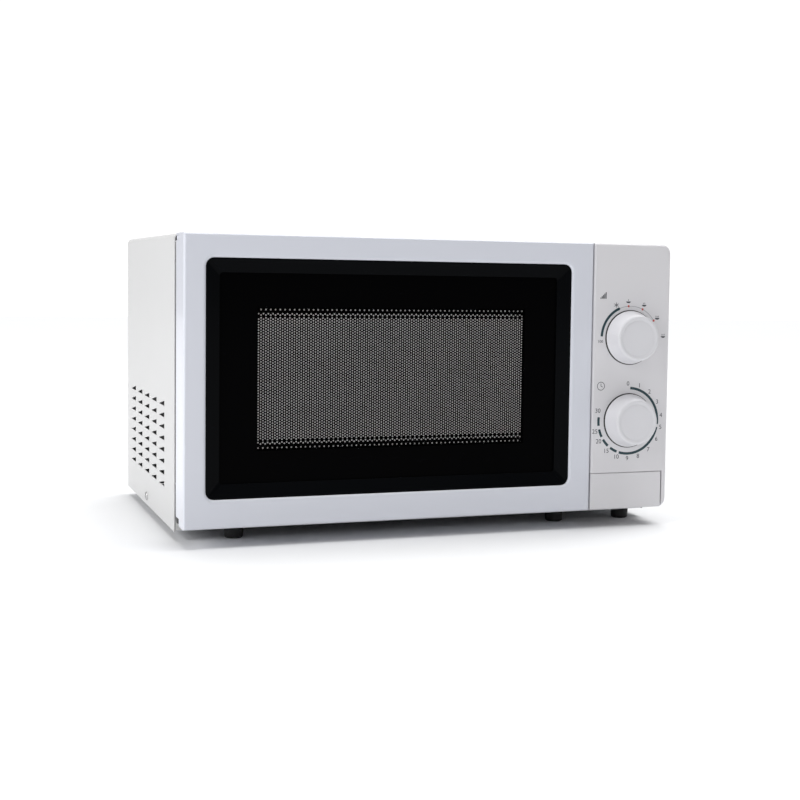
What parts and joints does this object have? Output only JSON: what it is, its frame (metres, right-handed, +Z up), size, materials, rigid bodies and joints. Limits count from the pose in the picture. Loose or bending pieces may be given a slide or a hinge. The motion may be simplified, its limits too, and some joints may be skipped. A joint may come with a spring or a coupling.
{
  "type": "microwave oven",
  "caption": "Countertop microwave oven with a side-hinged window door, two turned knobs, a push bar that opens the door, and a glass turntable tray.",
  "frame": {"origin": "on the surface under the feet, at the middle of the outside width and depth", "axes": "+X to the right seen from the front, +Y to the back, +Z up; the door and knobs face -Y"},
  "size_m": [0.4444, 0.342, 0.257],
  "materials": {
    "case_paint": "smooth white powder paint, satin",
    "door_plastic": "white moulding, slightly cool, satin gloss",
    "panel_plastic": "white moulding, satin gloss",
    "knob_plastic": "white moulding, satin gloss",
    "black_gloss": "polished black",
    "window_glass": "clear polished",
    "screen_paint": "black paint on perforated steel",
    "film": "light grey translucent sheet",
    "enamel": "light grey baked enamel",
    "zinc": "zinc-plated steel",
    "steel": "bright plated steel",
    "aluminium": "bare",
    "iron": "varnished laminations",
    "copper": "enamelled copper wire, taped",
    "brass": "turned",
    "white_plastic": "natural nylon",
    "grey_plastic": "dark grey moulding",
    "black_plastic": "black moulding",
    "red_plastic": "red moulding",
    "circuit_board": "lacquered board with its parts",
    "mica": "flecked mica sheet",
    "tray_glass": "tempered clear glass",
    "bulb_glass": "clear bulb",
    "ceramic": "alumina and metal cap",
    "rubber": "matte black"
  },
  "bodies": {
    "cabinet": {"outer_wrapper": "case_paint", "rear_panel": "zinc", "base_plate": "zinc", "front_plate": "enamel", "cavity_shell": "enamel", "control_panel": "panel_plastic", "foot_front_left": "rubber", "foot_front_right": "rubber", "foot_panel_side": "rubber", "foot_back_left": "rubber", "foot_back_right": "rubber", "hinge_lower": "steel", "hinge_upper": "steel", "waveguide": "zinc", "waveguide_cover": "mica", "magnetron_yoke": "zinc", "magnetron_fins": "aluminium", "magnetron_antenna": "ceramic", "transformer_core": "iron", "transformer_windings": "copper", "hv_capacitor": "aluminium", "hv_diode": "black_plastic", "fan_shroud": "zinc", "fan_motor": "iron", "lamp_holder": "white_plastic", "lamp_bulb": "bulb_glass", "noise_filter": "circuit_board", "turntable_motor": "zinc", "timer_unit": "grey_plastic", "timer_bell": "steel", "latch_board": "white_plastic", "switch_primary": "red_plastic", "switch_secondary": "black_plastic", "switch_monitor": "grey_plastic", "cord_gland": "black_plastic", "wrapper_screw_left": "steel", "wrapper_screw_right": "steel", "button_spring": "steel"},
    "door": {"door_frame": "door_plastic", "door_bezel": "black_gloss", "door_glass": "window_glass", "door_screen": "screen_paint", "door_inner_film": "film", "choke_cover": "grey_plastic", "latch_spring": "steel"},
    "latch": {"door_latch": "white_plastic"},
    "push_bar": {"door_release_button": "panel_plastic"},
    "lever": {"release_lever": "white_plastic"},
    "power_control": {"power_knob": "knob_plastic", "power_shaft": "brass"},
    "timer_control": {"timer_knob": "knob_plastic", "timer_shaft": "brass"},
    "turntable_drive": {"turntable_coupler": "white_plastic"},
    "ring": {"roller_ring": "white_plastic"},
    "wheel_1": {"roller_wheel_1": "white_plastic"},
    "wheel_2": {"roller_wheel_2": "white_plastic"},
    "wheel_3": {"roller_wheel_3": "white_plastic"},
    "tray": {"glass_tray": "tray_glass"},
    "fan": {"fan_blade": "grey_plastic"}
  },
  "joints": [
    {"name": "door_hinge", "type": "hinge", "parent": "cabinet", "child": "door", "pos_m": [-0.213, -0.118, 0.13665], "axis": [0, 0, -1], "range_deg": [0, 100]},
    {"name": "latch_lift", "type": "slide", "parent": "door", "child": "latch", "axis": [0, 0, 1], "range_m": [0, 0.004], "stiffness_N_per_m": 150, "springref_m": -0.004, "deforming": ["latch_spring"]},
    {"name": "button_press", "type": "slide", "parent": "cabinet", "child": "push_bar", "axis": [0, 1, 0], "range_m": [0, 0.004], "stiffness_N_per_m": 300, "springref_m": -0.003, "deforming": ["button_spring"]},
    {"name": "release_lever_turn", "type": "hinge", "parent": "cabinet", "child": "lever", "pos_m": [0.1429, -0.1027, 0.044], "axis": [1, 0, 0], "range_deg": [0, 11.5]},
    {"name": "power_turn", "type": "hinge", "parent": "cabinet", "child": "power_control", "pos_m": [0.1798, -0.153, 0.1725], "axis": [0, 1, 0], "range_deg": [-96, 88]},
    {"name": "timer_turn", "type": "hinge", "parent": "cabinet", "child": "timer_control", "pos_m": [0.1798, -0.153, 0.0972], "axis": [0, 1, 0], "range_deg": [0, 286]},
    {"name": "turntable_spin", "type": "hinge", "parent": "cabinet", "child": "turntable_drive", "pos_m": [-0.05, 0.0279, 0.04], "axis": [0, 0, 1], "continuous": true},
    {"name": "ring_spin", "type": "hinge", "parent": "cabinet", "child": "ring", "pos_m": [-0.05, 0.0279, 0.0393], "axis": [0, 0, 1], "continuous": true},
    {"name": "tray_lift", "type": "slide", "parent": "turntable_drive", "child": "tray", "axis": [0, 0, 1], "range_m": [0, 0.06]},
    {"name": "fan_spin", "type": "hinge", "parent": "cabinet", "child": "fan", "pos_m": [0.16245, 0.1505, 0.1226], "axis": [0, 1, 0], "continuous": true},
    {"name": "wheel_1_roll", "type": "hinge", "parent": "ring", "child": "wheel_1", "pos_m": [-0.05, 0.113, 0.0393], "axis": [0, 1, 0], "continuous": true},
    {"name": "wheel_2_roll", "type": "hinge", "parent": "ring", "child": "wheel_2", "pos_m": [-0.1237, -0.01465, 0.0393], "axis": [-0.866, -0.5, 0], "continuous": true},
    {"name": "wheel_3_roll", "type": "hinge", "parent": "ring", "child": "wheel_3", "pos_m": [0.0237, -0.01465, 0.0393], "axis": [0.866, -0.5, 0], "continuous": true}
  ],
  "couplings": [
    {"joint": "release_lever_turn", "follows": "button_press", "rad_per_m": 50},
    {"joint": "ring_spin", "follows": "turntable_spin", "ratio": 0.5},
    {"joint": "wheel_1_roll", "follows": "turntable_spin", "ratio": -6.0786},
    {"joint": "wheel_2_roll", "follows": "turntable_spin", "ratio": -6.0786},
    {"joint": "wheel_3_roll", "follows": "turntable_spin", "ratio": -6.0786}
  ]
}
